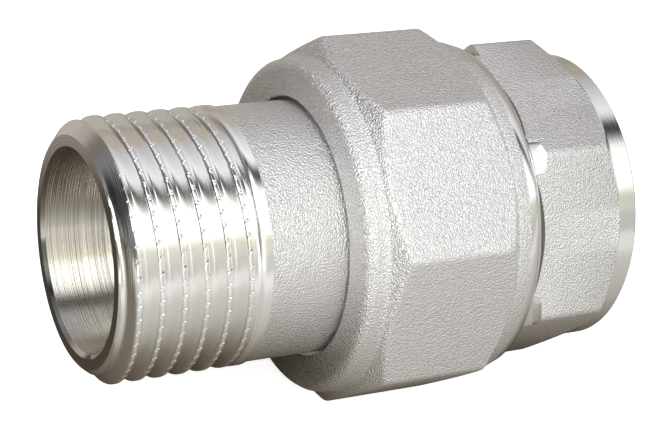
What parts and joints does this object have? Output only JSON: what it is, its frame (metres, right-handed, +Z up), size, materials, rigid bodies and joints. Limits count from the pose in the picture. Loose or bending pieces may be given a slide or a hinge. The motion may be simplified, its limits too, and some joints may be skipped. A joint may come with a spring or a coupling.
{
  "type": "pipe union",
  "caption": "Straight male-to-female pipe union: threaded tail, octagonal nut that draws the two halves together, and hexagonal body with a threaded socket.",
  "frame": {"origin": "on the pipe axis where the socket's full thread wall begins, 1.5 mm inside the mouth of the female end", "axes": "+X along the pipe axis out of the female mouth, +Z up, normal to the nut flat opposite the one that the part lies on"},
  "size_m": [0.044, 0.0286, 0.0286],
  "materials": {
    "tail_plating": "nickel-plated brass, polished thread and bore, blasted shank",
    "seal_rubber": "smooth black rubber",
    "nut_plating": "nickel-plated brass, blasted forging with a turned rear bevel",
    "body_plating": "nickel-plated brass, blasted hexagon with turned ring, lands and threads"
  },
  "bodies": {
    "body_side": {"union_body": "body_plating"},
    "tail_side": {"tailpiece": "tail_plating", "seal_ring": "seal_rubber"},
    "nut": {"union_nut": "nut_plating"}
  },
  "joints": [
    {"name": "tail_slide", "type": "slide", "parent": "body_side", "child": "tail_side", "axis": [-1, 0, 0], "range_m": [0, 0.00901]},
    {"name": "nut_turn", "type": "hinge", "parent": "tail_side", "child": "nut", "pos_m": [-0.017, 0, 0], "axis": [-1, 0, 0], "range_deg": [0, 2160]}
  ],
  "couplings": [
    {"joint": "tail_slide", "follows": "nut_turn", "m_per_rad": 0.00023873}
  ]
}
